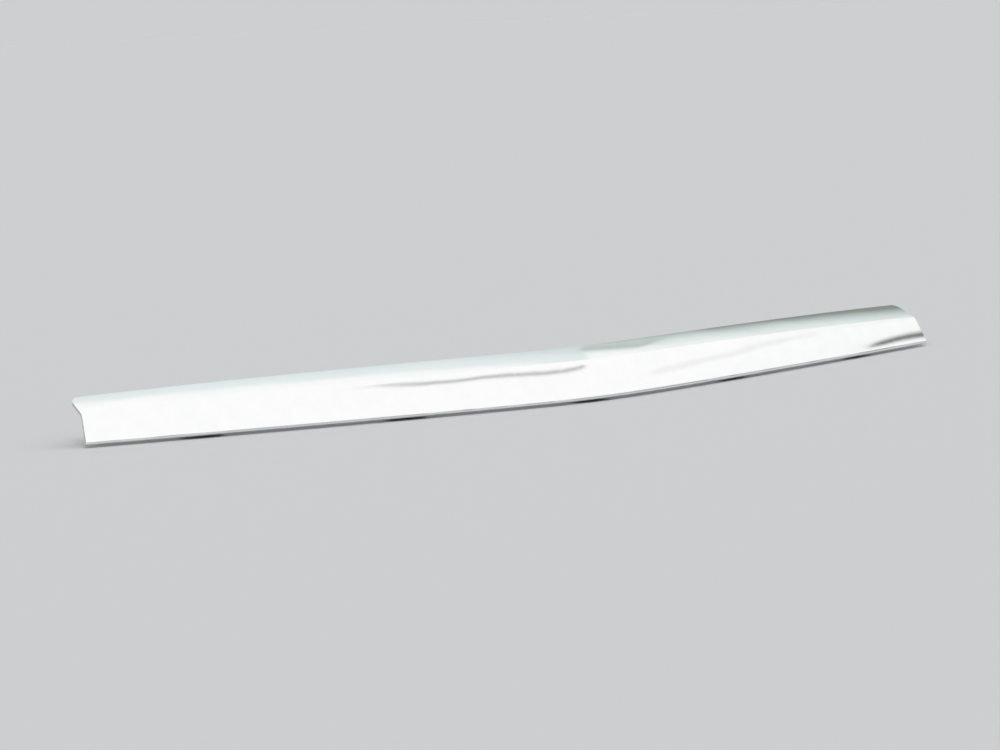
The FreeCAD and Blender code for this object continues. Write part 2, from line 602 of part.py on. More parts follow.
def make_shield_screw():
    body = doc.addObject("PartDesign::Body", "shield_screw")
    sketch = new_sketch(body, "shield_screw_half", "XZ_Plane")
    head = "%s - Sizes.pan_height" % SHIELD_FOOT
    tip = "%s + Sizes.nut_height + Sizes.screw_tip" % ARM_TOP
    rim = "Sizes.pan_width / 2"
    outline(sketch, [("0", head), (rim + " - Sizes.pan_bevel", head), (rim, head + " + Sizes.pan_bevel"),
                     (rim, SHIELD_FOOT), ("Sizes.shank / 2", SHIELD_FOOT), ("Sizes.shank / 2", tip),
                     ("0", tip)])
    turned(body, sketch)
    recess = new_sketch(body, "cross_recess", "XY_Plane", placed("0", "0", head))
    reach = "Sizes.recess_width / 2"
    arm = "Sizes.recess_arm / 2"
    quarter = [(reach, "-" + arm), (reach, arm), (arm, arm)]
    corners = []
    for turn in range(4):
        corners += quarter
        quarter = [(("-(%s)" % up), across) for across, up in quarter]
    outline(recess, corners)
    pocket(body, recess, "One side", True, "Sizes.recess_depth")
    return body


def make_clamp_screw():
    body = doc.addObject("PartDesign::Body", "clamp_screw")
    sketch = new_sketch(body, "clamp_screw_half", "XZ_Plane")
    tip = "%s + Sizes.nut_height + Sizes.screw_tip" % HOOK_TOP
    outline(sketch, [("0", ARM_FOOT), ("Sizes.shank / 2", ARM_FOOT), ("Sizes.shank / 2", tip), ("0", tip)])
    turned(body, sketch)
    head = new_sketch(body, "clamp_screw_hex", "XY_Plane", placed("0", "0", ARM_FOOT))
    hexagon(head)
    pad(body, head, "Sizes.hex_height", reverse=True)
    return body


def make_nut(name, foot):
    body = doc.addObject("PartDesign::Body", name)
    sketch = new_sketch(body, name + "_hex", "XY_Plane", placed("0", "0", foot))
    hexagon(sketch)
    circle(sketch, "0", "0", "(Sizes.shank + Sizes.thread_play)")
    pad(body, sketch, "Sizes.nut_height")
    return body


def one_per_bracket(label, master, across):
    links = []
    for name, x in BRACKETS:
        link = doc.addObject("App::Link", "%s_%s" % (label, name))
        link.LinkedObject = master
        link.setExpression("Placement", at_bracket(x, across, SCREW_LINE))
        links.append(link)
    group = doc.addObject("Part::Compound", label)
    group.Links = links
    return group


TIE = "Sizes.tie_offset"
CLAMP = "(-Sizes.clamp_offset)"
sub_parts += [
    one_per_bracket("shield_screws", make_shield_screw(), TIE),
    one_per_bracket("shield_nuts", make_nut("shield_nut", ARM_TOP), TIE),
    one_per_bracket("clamp_screws", make_clamp_screw(), CLAMP),
    one_per_bracket("clamp_nuts", make_nut("clamp_nut", HOOK_TOP), CLAMP)]


# Rubber bumpers and foam end pads, stuck to the shield's inner side and shaped by it

def stuck_inside(label, place, length, width, thickness):
    """A pad whose blank reaches half into the wall and is cut back by the shield itself."""
    blank = doc.addObject("PartDesign::Body", label + "_blank")
    sketch = new_sketch(blank, label + "_plan", "XY_Plane",
                        placed("0", "0", "-Sizes.wall - Sizes.%s" % thickness))
    side = "Sizes.%s / 2" % length
    rear = "Sizes.%s / 2" % width
    short_side = side + " - Sizes.pad_corner"
    short_rear = rear + " - Sizes.pad_corner"
    right = [(short_side, "-" + rear), (side, "-(%s)" % short_rear), (side, short_rear), (short_side, rear)]
    left = [("-(%s)" % across, up) for across, up in reversed(right)]
    outline(sketch, right + left)
    pad(blank, sketch, "Sizes.%s + Sizes.wall / 2" % thickness)
    blank.setExpression("Placement", place)
    cut = doc.addObject("Part::Cut", label)
    cut.Base = blank
    cut.Tool = shield
    return cut


for name, x in BUMPERS:
    sub_parts.append(stuck_inside("edge_bumper_" + name, on_top_flange(x, "Sizes.bumper_inset"),
                                  "bumper_length", "bumper_width", "bumper_height"))
for name, sign in (("left", "-"), ("right", "")):
    x = "%s(Sizes.half_width - Sizes.end_pad_inset)" % sign
    sub_parts.append(stuck_inside("end_pad_" + name, on_face(x, "Sizes.end_pad_rise"),
                                  "end_pad_length", "end_pad_width", "end_pad_height"))


# Every object is checked, then each sub-part is written as a file named after its label

doc.recompute()
for item in doc.Objects:
    if "Invalid" in item.State or "Error" in item.State:
        raise RuntimeError("%s failed: %s" % (item.Name, item.State))
for part in sub_parts:
    if part.Shape.isNull() or not part.Shape.isValid():
        raise RuntimeError("%s has no sound shape" % part.Label)
os.makedirs("parts", exist_ok=True)
for part in sub_parts:
    part.Shape.exportStep("parts/%s.step" % part.Label)
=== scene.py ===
from math import atan, cos, pi, radians, sin, sqrt, tan

import bmesh
import bpy
from mathutils import Matrix, Vector


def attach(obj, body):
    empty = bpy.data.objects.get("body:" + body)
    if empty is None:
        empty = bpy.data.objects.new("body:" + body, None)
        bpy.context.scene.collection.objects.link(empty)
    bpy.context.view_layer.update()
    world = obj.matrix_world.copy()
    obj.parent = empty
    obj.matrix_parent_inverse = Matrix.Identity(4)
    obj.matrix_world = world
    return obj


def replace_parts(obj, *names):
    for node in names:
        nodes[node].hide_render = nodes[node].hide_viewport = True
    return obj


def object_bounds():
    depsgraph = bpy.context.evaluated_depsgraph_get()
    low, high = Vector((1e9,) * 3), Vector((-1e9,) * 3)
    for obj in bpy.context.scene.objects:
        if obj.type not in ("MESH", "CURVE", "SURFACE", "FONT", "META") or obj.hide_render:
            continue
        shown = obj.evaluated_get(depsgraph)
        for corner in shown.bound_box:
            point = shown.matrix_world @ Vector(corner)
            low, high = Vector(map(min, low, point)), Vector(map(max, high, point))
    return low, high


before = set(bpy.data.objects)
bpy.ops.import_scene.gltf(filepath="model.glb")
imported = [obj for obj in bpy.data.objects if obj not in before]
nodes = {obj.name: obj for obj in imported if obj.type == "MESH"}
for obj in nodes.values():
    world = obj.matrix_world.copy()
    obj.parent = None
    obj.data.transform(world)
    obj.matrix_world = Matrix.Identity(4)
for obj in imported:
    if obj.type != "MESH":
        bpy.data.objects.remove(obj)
cad_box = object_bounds()


# Shield: one moulding with bright chrome over its whole outer side, and a thinner, duller plating
# inside. Its face and top flange are slightly crowned and the plating waves a little over the
# moulding, so reflections shade across it and wander along it.

def new_finish(name):
    """A material, its node tree, its shader and a socket with the place on the object."""
    material = bpy.data.materials.new(name)
    material.use_nodes = True
    tree = material.node_tree
    place = tree.nodes.new("ShaderNodeTexCoord").outputs["Object"]
    return material, tree, tree.nodes["Principled BSDF"], place


def feed(tree, socket, value):
    if isinstance(value, bpy.types.NodeSocket):
        tree.links.new(value, socket)
    else:
        socket.default_value = value


def maths(tree, operation, *values):
    node = tree.nodes.new("ShaderNodeMath")
    node.operation = operation
    for socket, value in zip(node.inputs, values):
        feed(tree, socket, value)
    return node.outputs["Value"]


def remap(tree, value, low, high, to_low=0.0, to_high=1.0, soft=False):
    node = tree.nodes.new("ShaderNodeMapRange")
    node.interpolation_type = "SMOOTHSTEP" if soft else "LINEAR"
    for name, number in (("Value", value), ("From Min", low), ("From Max", high), ("To Min", to_low),
                         ("To Max", to_high)):
        feed(tree, node.inputs[name], number)
    return node.outputs["Result"]


def noise(tree, place, scale, detail=2.0, stretch=(1, 1, 1)):
    mapping = tree.nodes.new("ShaderNodeMapping")
    mapping.inputs["Scale"].default_value = stretch
    tree.links.new(place, mapping.inputs["Vector"])
    node = tree.nodes.new("ShaderNodeTexNoise")
    node.inputs["Scale"].default_value = scale
    node.inputs["Detail"].default_value = detail
    tree.links.new(mapping.outputs["Vector"], node.inputs["Vector"])
    return node.outputs["Fac"]


def shades(tree, value, *stops):
    """A colour ramp through pairs of a position and a colour."""
    node = tree.nodes.new("ShaderNodeValToRGB")
    tree.links.new(value, node.inputs["Fac"])
    elements = node.color_ramp.elements
    while len(elements) < len(stops):
        elements.new(1.0)
    for element, (position, color) in zip(elements, stops):
        element.position = position
        element.color = (*color, 1.0)
    return node.outputs["Color"]


def blend_colors(tree, share, first, second):
    node = tree.nodes.new("ShaderNodeMix")
    node.data_type = "RGBA"
    feed(tree, node.inputs["Factor"], share)
    for socket, color in ((node.inputs["A"], first), (node.inputs["B"], second)):
        feed(tree, socket, color if isinstance(color, bpy.types.NodeSocket) else (*color, 1.0))
    return node.outputs["Result"]


def relief(tree, height, depth, strength=1.0, under=None):
    """A bump, laid over another one if that is given."""
    node = tree.nodes.new("ShaderNodeBump")
    node.inputs["Distance"].default_value = depth
    feed(tree, node.inputs["Strength"], strength)
    tree.links.new(height, node.inputs["Height"])
    if under:
        tree.links.new(under, node.inputs["Normal"])
    return node.outputs["Normal"]


HALF_WIDTH = 0.767
NOSE_SPREAD = 0.100
SWEEP = 0.194
FLANK_RADIUS = 10.9
LIP_SETBACK = 0.024
FOLD_SETBACK, FOLD_AT_END = 0.0332, 0.0251
TOP_SETBACK, TOP_AT_END = 0.075, 0.071
FALLOFF = 2.5
WALL = 0.003
SHIELD_FOOT = -0.007
# Times the distances to a strip's two edges, a crown gives how high it bulges between them.
FACE_CROWN, TOP_CROWN, CROWN_BLEND = 4.2, -2.6, 0.0004
WAVE_DEPTH = 0.0009
OUTWARDS = (0.0, -0.64, 0.77)

chrome, tree, shader, place = new_finish("bright_chrome")
shader.inputs["Metallic"].default_value = 1.0
axes = tree.nodes.new("ShaderNodeSeparateXYZ")
tree.links.new(place, axes.inputs["Vector"])
squared = maths(tree, "MULTIPLY", axes.outputs["X"], axes.outputs["X"])
swept = maths(tree, "SQRT", maths(tree, "ADD", squared, NOSE_SPREAD ** 2))
front_line = maths(tree, "MULTIPLY_ADD", swept, SWEEP, -SWEEP * NOSE_SPREAD - LIP_SETBACK)
front_line = maths(tree, "MULTIPLY_ADD", squared, 0.5 / FLANK_RADIUS, front_line)
behind_edge = maths(tree, "SUBTRACT", axes.outputs["Y"], front_line)
towards_end = maths(tree, "MULTIPLY", maths(tree, "ABSOLUTE", axes.outputs["X"]), 1 / HALF_WIDTH)
fall = maths(tree, "POWER", towards_end, FALLOFF)
fold = maths(tree, "MULTIPLY_ADD", fall, FOLD_AT_END - FOLD_SETBACK, FOLD_SETBACK)
rear = maths(tree, "MULTIPLY_ADD", fall, TOP_AT_END - TOP_SETBACK, TOP_SETBACK)
before_fold = maths(tree, "SUBTRACT", fold, behind_edge)
before_rear = maths(tree, "SUBTRACT", rear, behind_edge)
face_crown = maths(tree, "MULTIPLY", maths(tree, "MULTIPLY", behind_edge, before_fold), FACE_CROWN)
top_crown = maths(tree, "MULTIPLY", maths(tree, "MULTIPLY", before_fold, before_rear), TOP_CROWN)
crown = maths(tree, "SMOOTH_MAX", face_crown, top_crown, CROWN_BLEND)
form = tree.nodes.new("ShaderNodeNewGeometry")
facing = tree.nodes.new("ShaderNodeVectorMath")
facing.operation = "DOT_PRODUCT"
tree.links.new(form.outputs["True Normal"], facing.inputs[0])
facing.inputs[1].default_value = OUTWARDS
outer = remap(tree, facing.outputs["Value"], 0.10, 0.16)
wave = noise(tree, place, 1.6, 1.0, (2.2, 9, 9))
rubbing = noise(tree, place, 6.0, 6.0, (14, 240, 240))
dust = noise(tree, place, 35.0, 8.0)
gloss = remap(tree, rubbing, 0.35, 0.75, 0.03, 0.10)
inner_gloss = remap(tree, dust, 0.3, 0.7, 0.30, 0.44)
tree.links.new(maths(tree, "ADD", maths(tree, "MULTIPLY", gloss, outer),
                     maths(tree, "MULTIPLY", inner_gloss, maths(tree, "SUBTRACT", 1.0, outer))),
               shader.inputs["Roughness"])
plated = shades(tree, dust, (0.35, (0.975, 0.98, 0.975)), (0.75, (0.945, 0.955, 0.95)))
thin_plating = shades(tree, dust, (0.3, (0.74, 0.75, 0.76)), (0.7, (0.58, 0.59, 0.60)))
tree.links.new(blend_colors(tree, outer, thin_plating, plated), shader.inputs["Base Color"])
crowned = relief(tree, crown, 1.0, outer)
tree.links.new(relief(tree, wave, WAVE_DEPTH, under=crowned), shader.inputs["Normal"])
nodes["shield"].material_slots[0].material = chrome


# Brackets: steel strip, punched, bent into a jaw that grips a panel's lip, and powder coated black. The
# coat has a fine orange-peel skin, and road dust dulls it in patches.

coated, tree, shader, place = new_finish("black_steel")
peel = noise(tree, place, 900.0, 2.0)
cloud = noise(tree, place, 60.0, 6.0)
tree.links.new(shades(tree, cloud, (0.36, (0.020, 0.020, 0.022)), (0.74, (0.070, 0.066, 0.060))),
               shader.inputs["Base Color"])
tree.links.new(remap(tree, cloud, 0.3, 0.7, 0.30, 0.52), shader.inputs["Roughness"])
tree.links.new(relief(tree, peel, 0.0002, 0.25), shader.inputs["Normal"])
for number in range(1, 6):
    nodes["bracket_%d" % number].material_slots[0].material = coated


# Lip liners: U-shaped channel of black rubber, extruded and cut to length, pushed into each bracket's
# jaw. The extruder leaves faint lines along it.

rubber, tree, shader, place = new_finish("black_rubber")
pebble = noise(tree, place, 1400.0, 3.0)
lines = noise(tree, place, 30.0, 2.0, (1, 40, 40))
bloom = noise(tree, place, 110.0, 7.0)
tree.links.new(shades(tree, bloom, (0.38, (0.016, 0.016, 0.016)), (0.78, (0.055, 0.053, 0.050))),
               shader.inputs["Base Color"])
tree.links.new(remap(tree, bloom, 0.3, 0.7, 0.62, 0.85), shader.inputs["Roughness"])
lined = relief(tree, lines, 0.0002, 0.3)
tree.links.new(relief(tree, pebble, 0.0002, 0.35, lined), shader.inputs["Normal"])
for number in range(1, 6):
    nodes["lip_liner_%d" % number].material_slots[0].material = rubber


# Screws and nuts: zinc-plated steel with a faint blue and yellow passivation. The pan-head screws hold
# the shield's ears from below, the hex screws pinch the brackets on the lip, and the nuts are welded on.

HEX_RIM, HEX_FLATS, HEX_FACE, HEX_CHAMFER = 0.0042, 0.008, 0.0038, 0.0003
ROOT, CREST, PITCH, RIDGE_SINK = 0.00205, 0.0025, 0.0008, 0.0001
TIP_TAPER, TIP_HEIGHT = 0.0006, 0.0005
STEPS_PER_TURN = 24
SHARP_ANGLE = radians(32)


def turned_about_z(profile, steps=2 * STEPS_PER_TURN):
    """A closed piece spun from an outline of pairs of a radius and a height."""
    build = bmesh.new()
    ring = [build.verts.new((radius, 0.0, level)) for radius, level in profile]
    edges = [build.edges.new(pair) for pair in zip(ring[:-1], ring[1:])]
    if profile[0][0] > 0:
        edges.append(build.edges.new((ring[-1], ring[0])))
    bmesh.ops.spin(build, geom=ring + edges, cent=(0, 0, 0), axis=(0, 0, 1), angle=2 * pi, steps=steps,
                   use_merge=True)
    bmesh.ops.remove_doubles(build, verts=build.verts, dist=1e-6)
    return build


def make_hexagonal(build, end, outwards):
    """Push a spun piece's rim out to six flats, with the usual turned chamfer at the end that shows."""
    for vertex in build.verts:
        reach = vertex.co.xy.length
        if abs(reach - HEX_RIM) > 1e-5:
            continue
        turn = Vector((1, 0)).angle_signed(vertex.co.xy)
        spread = HEX_FLATS / 2 / cos((-turn) % (pi / 3) - pi / 6)
        vertex.co.xy *= spread / reach
        if abs(vertex.co.z - end) < HEX_CHAMFER + 1e-6:
            vertex.co.z = end - outwards * (spread - HEX_FACE) * tan(radians(30))


def add_thread(build, low, high):
    """A core with a helical ridge on it. The ridge runs out at both ends."""
    core = turned_about_z([(0.0, low), (ROOT, low), (ROOT, high - TIP_HEIGHT), (ROOT - TIP_TAPER, high),
                           (0.0, high)], STEPS_PER_TURN)
    steps = int(STEPS_PER_TURN * (high - low - 2 * PITCH) / PITCH)
    ridge = bmesh.new()
    low_point = ridge.verts.new((ROOT - RIDGE_SINK, 0, low + 0.1 * PITCH))
    peak = ridge.verts.new((CREST, 0, low + 0.5 * PITCH))
    high_point = ridge.verts.new((ROOT - RIDGE_SINK, 0, low + 0.9 * PITCH))
    sides = [ridge.edges.new((low_point, peak)), ridge.edges.new((peak, high_point))]
    bmesh.ops.spin(ridge, geom=[low_point, peak, high_point] + sides, cent=(0, 0, 0), axis=(0, 0, 1),
                   dvec=(0, 0, PITCH / STEPS_PER_TURN), angle=2 * pi * steps / STEPS_PER_TURN, steps=steps)
    last = max(vertex.co.z for vertex in ridge.verts)
    for vertex in ridge.verts:
        reach = vertex.co.xy.length
        if reach > (ROOT + CREST) / 2:
            run = min(vertex.co.z - low - 0.5 * PITCH, last - 0.4 * PITCH - vertex.co.z)
            share = min(1.0, max(0.0, run / (0.4 * PITCH)))
            vertex.co.xy *= (ROOT + (CREST - ROOT) * share) / reach
    for part in (core, ridge):
        mesh = bpy.data.meshes.new("thread")
        part.to_mesh(mesh)
        part.free()
        build.from_mesh(mesh)
        bpy.data.meshes.remove(mesh)


def cut_faces(build, faces, point, normal):
    """Cut the faces in two where they cross a plane."""
    geometry = list({part for face in faces for part in (face, *face.edges, *face.verts)})
    bmesh.ops.bisect_plane(build, geom=geometry, plane_co=point, plane_no=normal, dist=1e-6)


def push_out(build, faces):
    """Extrude a group of faces, take the old ones away, and return the new corners to be moved."""
    new = bmesh.ops.extrude_face_region(build, geom=faces)
    bmesh.ops.delete(build, geom=faces, context="FACES")
    return [part for part in new["geom"] if isinstance(part, bmesh.types.BMVert)]


def front_edge(x):
    """The shield's lower edge at x: how far back it lies, and its turn about Z."""
    bow = sqrt(x * x + NOSE_SPREAD ** 2)
    back = SWEEP * (bow - NOSE_SPREAD) + x * x / (2 * FLANK_RADIUS) - LIP_SETBACK
    return back, atan(SWEEP * x / bow + x / FLANK_RADIUS)


def at_bracket(x, across, behind):
    """A place in the frame of the bracket at x."""
    back, turn = front_edge(x)
    return (Matrix.Translation((x, back, 0)) @ Matrix.Rotation(turn, 4, "Z")
            @ Matrix.Translation((across, LIP_SETBACK + behind, 0)))


def finished_piece(name, build, places, material):
    """One object with a copy of the piece at each place."""
    bmesh.ops.recalc_face_normals(build, faces=build.faces)
    single = bpy.data.meshes.new(name)
    build.to_mesh(single)
    build.free()
    whole = bmesh.new()
    for place in places:
        start = len(whole.verts)
        whole.from_mesh(single)
        whole.verts.ensure_lookup_table()
        bmesh.ops.transform(whole, matrix=place, verts=whole.verts[start:])
    for face in whole.faces:
        face.smooth = True
    for joint in whole.edges:
        joint.smooth = not joint.is_manifold or joint.calc_face_angle() < SHARP_ANGLE
    mesh = bpy.data.meshes.new(name)
    whole.to_mesh(mesh)
    whole.free()
    bpy.data.meshes.remove(single)
    mesh.materials.append(material)
    piece = bpy.data.objects.new(name, mesh)
    bpy.context.scene.collection.objects.link(piece)
    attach(piece, "root")
    return piece


zinc, tree, shader, place = new_finish("zinc_steel")
shader.inputs["Metallic"].default_value = 1.0
stain = noise(tree, place, 160.0, 4.0)
turning = noise(tree, place, 260.0, 2.0, (1, 1, 30))
tree.links.new(shades(tree, stain, (0.35, (0.56, 0.60, 0.66)), (0.68, (0.70, 0.67, 0.58))),
               shader.inputs["Base Color"])
tree.links.new(remap(tree, stain, 0.3, 0.7, 0.22, 0.42), shader.inputs["Roughness"])
tree.links.new(relief(tree, turning, 0.00005, 0.4), shader.inputs["Normal"])

ARM_TOP = -0.002
HOOK_TOP = 0.009
SCREW_LINE = 0.020
TIE_OFFSET = 0.013
CLAMP_OFFSET = -0.010
BRACKET_XS = [-0.6, -0.3, 0.0, 0.3, 0.6]
tie_places = [at_bracket(x, TIE_OFFSET, SCREW_LINE) for x in BRACKET_XS]
clamp_places = [at_bracket(x, CLAMP_OFFSET, SCREW_LINE) for x in BRACKET_XS]

SCREW_OUT = 0.0061
PAN_TOP = SHIELD_FOOT - 0.0034
DOME_LIMIT = PAN_TOP + 0.0010
CROSS_HALF_WIDTH, CROSS_HALF_LENGTH, CROSS_DEPTH, CROSS_TAPER = 0.00065, 0.0026, 0.0019, 0.75
pan = turned_about_z([
    (0.0, PAN_TOP), (0.0020, PAN_TOP + 0.00005), (0.0032, PAN_TOP + 0.00035), (0.0041, PAN_TOP + 0.0009),
    (0.0046, PAN_TOP + 0.0016), (0.00475, PAN_TOP + 0.0024), (0.00475, SHIELD_FOOT - 0.0002),
    (0.0046, SHIELD_FOOT), (0.0020, SHIELD_FOOT), (0.0, SHIELD_FOOT)])
for side in (-1, 1):
    for offset in (CROSS_HALF_WIDTH, CROSS_HALF_LENGTH):
        for normal in (Vector((1, 0, 0)), Vector((0, 1, 0))):
            dome = [face for face in pan.faces if face.calc_center_median().z < DOME_LIMIT]
            cut_faces(pan, dome, normal * offset * side, normal)
in_cross = []
for face in pan.faces:
    centre = face.calc_center_median()
    near, far = sorted((abs(centre.x), abs(centre.y)))
    if near < CROSS_HALF_WIDTH and far < CROSS_HALF_LENGTH and centre.z < DOME_LIMIT:
        in_cross.append(face)
for vertex in push_out(pan, in_cross):
    vertex.co = (vertex.co.x * CROSS_TAPER, vertex.co.y * CROSS_TAPER, PAN_TOP + CROSS_DEPTH)
add_thread(pan, SHIELD_FOOT, ARM_TOP + SCREW_OUT)
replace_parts(finished_piece("pan_screws", pan, tie_places, zinc), "shield_screws")

HEAD_TOP = -0.0076
ARM_FOOT = -0.004
hex_head = turned_about_z([(0.0, HEAD_TOP), (HEX_FACE, HEAD_TOP), (HEX_RIM, HEAD_TOP + HEX_CHAMFER),
                           (HEX_RIM, ARM_FOOT), (0.0020, ARM_FOOT), (0.0, ARM_FOOT)])
make_hexagonal(hex_head, HEAD_TOP, -1)
add_thread(hex_head, ARM_FOOT, HOOK_TOP + SCREW_OUT)
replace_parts(finished_piece("hex_screws", hex_head, clamp_places, zinc), "clamp_screws")

NUT_HEIGHT, NUT_BORE, BORE_MOUTH, MOUTH_DEPTH = 0.0047, 0.00255, 0.0030, 0.0004
for name, low, places in (("shield_nuts", ARM_TOP, tie_places), ("clamp_nuts", HOOK_TOP, clamp_places)):
    high = low + NUT_HEIGHT
    nut = turned_about_z([(NUT_BORE, low), (HEX_RIM, low), (HEX_RIM, high - HEX_CHAMFER), (HEX_FACE, high),
                          (BORE_MOUTH, high), (NUT_BORE, high - MOUTH_DEPTH)])
    make_hexagonal(nut, high, 1)
    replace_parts(finished_piece("weld_" + name, nut, places, zinc), name)


# Edge bumpers: small blocks of moulded black rubber with ribs, stuck under the top flange, which keep
# the shield off the paint below it. Each has a thin foot all round and a raised, ribbed middle.

def cut_corner_block(length, width, corner, low, high):
    """A block with its four upright corners cut."""
    build = bmesh.new()
    bmesh.ops.create_cube(build, size=1.0)
    bmesh.ops.scale(build, vec=(length, width, high - low), verts=build.verts)
    bmesh.ops.translate(build, vec=(0, 0, (low + high) / 2), verts=build.verts)
    upright = [edge for edge in build.edges if abs(edge.verts[0].co.z - edge.verts[1].co.z) > 1e-5]
    bmesh.ops.bevel(build, geom=upright, offset=corner, offset_type="OFFSET", segments=1, profile=0.5,
                    affect="EDGES", material=-1)
    return build


CROWN_HEIGHT, END_DROP = 0.073, 0.0117
TOP_SLOPE = radians(23)
BUMPER_COUNT, BUMPER_INSET, BUMPER_END_GAP = 8, 0.011, 0.102
BUMPER_LENGTH, BUMPER_WIDTH, BUMPER_HEIGHT = 0.026, 0.013, 0.005
CUT_CORNER, FOOT_RIM, RIB_HEIGHT = 0.003, 0.0012, 0.0036
DRAFT = (0.97, 0.94, 1)
GROOVES = (-0.0081, -0.0051, -0.0021, 0.0021, 0.0051, 0.0081)
GROOVE_HALF_WIDTH, GROOVE_DEPTH = 0.0006, 0.0012
GLUE = 0.0001


def under_top_flange(x):
    """The place of a bumper at x, on the underside of the flange and a little in from its rear edge."""
    back, turn = front_edge(x)
    falloff = abs(x / HALF_WIDTH) ** FALLOFF
    height = CROWN_HEIGHT - END_DROP * falloff
    setback = TOP_SETBACK + (TOP_AT_END - TOP_SETBACK) * falloff
    return (Matrix.Translation((x, back + setback - BUMPER_INSET * cos(TOP_SLOPE),
                                SHIELD_FOOT + height - BUMPER_INSET * sin(TOP_SLOPE)))
            @ Matrix.Rotation(turn, 4, "Z") @ Matrix.Rotation(TOP_SLOPE, 4, "X"))


for number in range(BUMPER_COUNT):
    x = (2 * number - (BUMPER_COUNT - 1)) / (BUMPER_COUNT - 1) * (HALF_WIDTH - BUMPER_END_GAP)
    free = -WALL - BUMPER_HEIGHT
    rib_limit = free + 0.0001
    bumper = cut_corner_block(BUMPER_LENGTH, BUMPER_WIDTH, CUT_CORNER, free + RIB_HEIGHT, -WALL + GLUE)
    bottom = min(bumper.faces, key=lambda face: face.calc_center_median().z)
    bmesh.ops.inset_region(bumper, faces=[bottom], thickness=FOOT_RIM, use_even_offset=True)
    raised = push_out(bumper, [bottom])
    bmesh.ops.translate(bumper, vec=(0, 0, -RIB_HEIGHT), verts=raised)
    bmesh.ops.scale(bumper, vec=DRAFT, verts=raised)
    for middle in GROOVES:
        for edge_x in (middle - GROOVE_HALF_WIDTH, middle + GROOVE_HALF_WIDTH):
            ribbed = [face for face in bumper.faces if face.calc_center_median().z < rib_limit]
            cut_faces(bumper, ribbed, (edge_x, 0, 0), (1, 0, 0))
    grooves = []
    for face in bumper.faces:
        centre = face.calc_center_median()
        nearest = min(abs(centre.x - middle) for middle in GROOVES)
        if centre.z < rib_limit and nearest < GROOVE_HALF_WIDTH / 2:
            grooves.append(face)
    for groove in grooves:
        bmesh.ops.translate(bumper, vec=(0, 0, GROOVE_DEPTH), verts=push_out(bumper, [groove]))
    piece = finished_piece("bumper_%d" % (number + 1), bumper, [under_top_flange(x)], rubber)
    soften = piece.modifiers.new("worn_edges", "BEVEL")
    soften.width = 0.0002
    soften.segments = 2
    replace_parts(piece, "edge_bumper_%d" % (number + 1))


# End pads: blocks of closed-cell black foam stuck behind the face at each end, which stop the ends from
# fluttering. The knife leaves open cells on their sides, and their free faces swell in the middle.

FACE_LEAN = radians(31)
PAD_LENGTH, PAD_WIDTH, PAD_DEPTH = 0.0158, 0.0258, 0.0058
PAD_CORNER, PAD_END_GAP, PAD_RISE = 0.003, 0.016, 0.027
EDGE_DROP, SIDE_PINCH = 0.0007, 0.03

foam, tree, shader, place = new_finish("black_foam")
shader.inputs["Roughness"].default_value = 0.95
shader.inputs["Specular IOR Level"].default_value = 0.2
cells = tree.nodes.new("ShaderNodeTexVoronoi")
cells.inputs["Scale"].default_value = 900.0
tree.links.new(place, cells.inputs["Vector"])
patches = noise(tree, place, 120.0, 4.0)
# The colour darkens down in each open cell, where the bump sinks, as painted shade in the cells. Random
# patches of darker foam are multiplied in.
painted_cell_shade_and_patches = maths(tree, "MULTIPLY", cells.outputs["Distance"], patches)
tree.links.new(shades(tree, painted_cell_shade_and_patches, (0.0, (0.012, 0.012, 0.013)), (0.45, (0.070, 0.069, 0.071))),
               shader.inputs["Base Color"])
tree.links.new(relief(tree, cells.outputs["Distance"], 0.0006, 0.8), shader.inputs["Normal"])

for side, name in ((-1, "left"), (1, "right")):
    x = side * (HALF_WIDTH - PAD_END_GAP)
    back, turn = front_edge(x)
    behind_face = (Matrix.Translation((x, back + PAD_RISE * sin(FACE_LEAN),
                                       SHIELD_FOOT + PAD_RISE * cos(FACE_LEAN)))
                   @ Matrix.Rotation(turn, 4, "Z") @ Matrix.Rotation(pi / 2 - FACE_LEAN, 4, "X"))
    pad = cut_corner_block(PAD_LENGTH, PAD_WIDTH, PAD_CORNER, -WALL - PAD_DEPTH, -WALL + GLUE)
    bmesh.ops.subdivide_edges(pad, edges=pad.edges, cuts=7, use_grid_fill=True)
    bmesh.ops.triangulate(pad, faces=[face for face in pad.faces if len(face.verts) > 4])
    for vertex in pad.verts:
        along = min(1.0, abs(vertex.co.x) / (PAD_LENGTH / 2))
        up = min(1.0, abs(vertex.co.y) / (PAD_WIDTH / 2))
        depth = (-WALL - vertex.co.z) / PAD_DEPTH
        if depth > 0.99:
            vertex.co.z += EDGE_DROP * (along ** 4 + up ** 4)
        vertex.co.xy *= 1 - SIDE_PINCH * sin(pi * min(1.0, max(0.0, depth)))
    piece = finished_piece("foam_pad_" + name, pad, [behind_face], foam)
    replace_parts(piece, "end_pad_" + name)


# Studio: a plain pale floor just under the screws' heads, two soft lamps high in front, and a pale
# surround that shades the chrome: brighter in front than behind, as in a tent, with four dark bands.

FLOOR_HALF_SIZE, FLOOR_GAP = 30.0, 0.0002
BAND_COLOR = (0.10, 0.11, 0.10)

scene = bpy.context.scene
floor_mesh = bpy.data.meshes.new("floor")
sheet = bmesh.new()
bmesh.ops.create_grid(sheet, x_segments=8, y_segments=8, size=FLOOR_HALF_SIZE)
bmesh.ops.translate(sheet, verts=sheet.verts, vec=(0, 0, cad_box[0][2] - FLOOR_GAP))
sheet.to_mesh(floor_mesh)
sheet.free()
floor = bpy.data.objects.new("floor", floor_mesh)
scene.collection.objects.link(floor)
paper, tree, shader, _ = new_finish("pale_floor")
shader.inputs["Roughness"].default_value = 0.8
shader.inputs["Specular IOR Level"].default_value = 0.1
shader.inputs["Base Color"].default_value = (0.62, 0.63, 0.64, 1.0)
floor_mesh.materials.append(paper)

